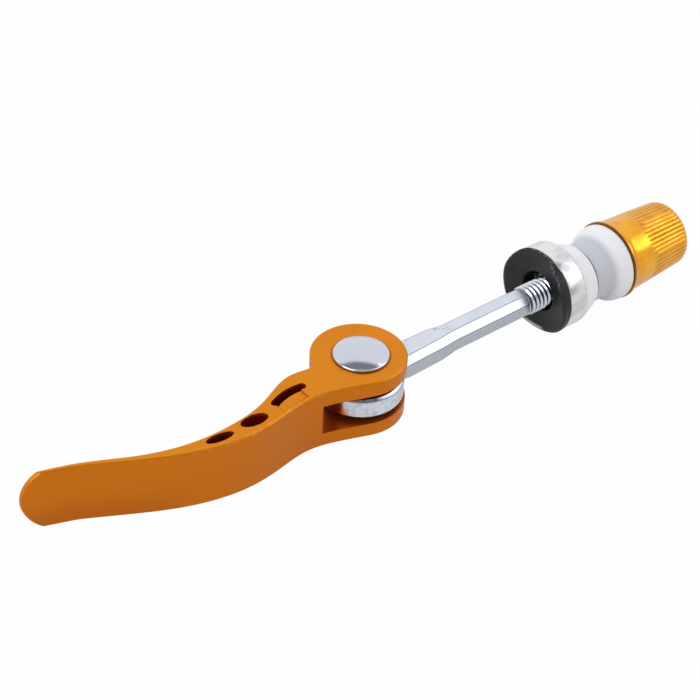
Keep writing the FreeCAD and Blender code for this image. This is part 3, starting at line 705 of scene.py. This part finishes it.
def gold_anodising(finish):
    spot = finish.place()
    along = finish.axes(spot)[0]
    cloud = finish.grain(spot, 0.3, 3.0)
    turning = finish.grain(finish.place((1, 0.02, 0.02)), 10.0, 2.0)
    gold = finish.blend(cloud.step(0.35, 0.7), NUT_GOLD, NUT_AMBER)
    # Painted shade in the ribs' grooves, at the lip against the bush and at the lip's foot.
    shaded = (finish.painted("groove") * 0.5).larger(along.near(*LIP_LINE) * 0.85)
    shaded = shaded.larger(along.near(*FOOT_LINE) * 0.65)
    return {
        "Base Color": finish.blend(shaded, gold, NUT_SHADE),
        "Roughness": 0.10 + 0.06 * cloud + 0.04 * turning,
        "Normal": finish.relief(turning * 0.4 + cloud * 0.6, 0.012, 0.4),
    }


gold = new_finish("gold_anodising", {
    "Metallic": 1.0, "Coat Weight": 0.4, "Coat Roughness": 0.06}, gold_anodising)
dress(nut, gold, "nut", "nut_anodised", "nut")


# Setting: a plain white floor just under the part, a large and a small soft lamp in front to the
# right, a large one on the left, and a pale sky that is brighter behind and dark overhead.
# The camera stands where the photograph was taken from.
FLOOR_LEVEL = cad_box[0][2] - 0.2 * MM
FLOOR_WIDTH = 6.0
FLOOR_WHITE = (0.8, 0.8, 0.8, 1)
FLOOR_SEEN = 0.97
FLOOR_MIRRORED = 0.38
CAMERA_PLACE = Vector((-182.98, -207.25, 229.23)) * MM
CAMERA_RIGHT = Vector((0.7753, -0.6302, 0.0415))
CAMERA_UP = Vector((0.3701, 0.5067, 0.7786))
CAMERA_LENS = 100.65
CAMERA_SENSOR = 36.0
AIM_MIDDLE = (0.0, 0.0, 0.0)
AIM_BOLT = (0.02, 0.0, 0.0)
AIM_NUT = (0.07, 0.0, 0.0)
SKY_WHITE = (1.0, 1.0, 1.0, 1)
SKY_WAY = (0.65, 0.76)
SKY_FADE = (-0.45, 0.15)
SKY_BAND = (0.11, 0.2)
SKY_BAND_FADE = (0.55, 0.75)
SKY_BACK = 0.95
SKY_FRONT = 0.44
SKY_OVERHEAD = 0.25

bpy.ops.object.select_all(action="DESELECT")
bpy.ops.mesh.primitive_plane_add(size=FLOOR_WIDTH, location=(0, 0, FLOOR_LEVEL))
floor = bpy.context.object
floor.name = "floor"
paper = bpy.data.materials.new("white_paper")
paper.use_nodes = True
sheet = Finish(paper.node_tree)
matt = paper.node_tree.nodes["Principled BSDF"]
matt.inputs["Base Color"].default_value = FLOOR_WHITE
matt.inputs["Roughness"].default_value = 0.9
matt.inputs["Specular IOR Level"].default_value = 0.1
seen = sheet.node("ShaderNodeLightPath", output="Is Camera Ray")
mirrored = sheet.node("ShaderNodeLightPath", output="Is Glossy Ray")
through = sheet.node("ShaderNodeLightPath", output="Is Transmission Ray")
glow = sheet.node("ShaderNodeEmission", None, {"Color": SKY_WHITE, "Strength": 1.0})
share = seen * FLOOR_SEEN + mirrored.larger(through) * FLOOR_MIRRORED
shaded_paper = Value(sheet, matt.outputs["BSDF"])
surface = sheet.node("ShaderNodeMixShader", None, {0: share, 1: shaded_paper, 2: glow})
sheet.tree.links.new(surface.socket, paper.node_tree.nodes["Material Output"].inputs["Surface"])
floor.data.materials.append(paper)


def softbox(name, place, aim, width, power):
    """Square lamp at a place in metres, turned to what it lights."""
    bpy.ops.object.light_add(type="AREA", location=place)
    lamp = bpy.context.object
    lamp.name = name
    lamp.data.shape = "SQUARE"
    lamp.data.size = width
    lamp.data.energy = power
    lamp.rotation_euler = (Vector(aim) - Vector(place)).to_track_quat("-Z", "Y").to_euler()


softbox("front_softbox", (0.48, -0.40, 0.50), AIM_BOLT, 0.62, 0.80)
softbox("right_softbox", (0.69, -0.385, 0.44), AIM_NUT, 0.30, 0.19)
softbox("left_softbox", (-0.62, 0.0, 0.45), AIM_MIDDLE, 0.60, 2.4)

world = bpy.data.worlds.new("pale_sky")
bpy.context.scene.world = world
world.use_nodes = True
sky = Finish(world.node_tree)
looked_at = sky.node("ShaderNodeLightPath", output="Is Camera Ray")
backdrop = world.node_tree.nodes["Background"]
right, away, height = sky.axes(sky.node("ShaderNodeTexCoord", output="Generated"))
behind = right * SKY_WAY[0] + away * SKY_WAY[1]
brightness = SKY_FRONT + (SKY_BACK - SKY_FRONT) * behind.step(*SKY_FADE)
overhead = behind.near(*SKY_BAND) * height.step(*SKY_BAND_FADE)
brightness = looked_at.larger(brightness - (brightness - SKY_OVERHEAD) * overhead)
world.node_tree.links.new(brightness.socket, backdrop.inputs["Strength"])
backdrop.inputs["Color"].default_value = SKY_WHITE

lens = bpy.data.cameras.new("camera")
lens.lens = CAMERA_LENS
lens.sensor_width = CAMERA_SENSOR
lens.clip_start = 0.01
camera = bpy.data.objects.new("camera", lens)
bpy.context.scene.collection.objects.link(camera)
camera_back = CAMERA_RIGHT.cross(CAMERA_UP)
turned = Matrix((CAMERA_RIGHT, CAMERA_UP, camera_back)).transposed().to_4x4()
camera.matrix_world = Matrix.Translation(CAMERA_PLACE) @ turned
bpy.context.scene.camera = camera
bpy.context.scene.view_settings.view_transform = "Standard"
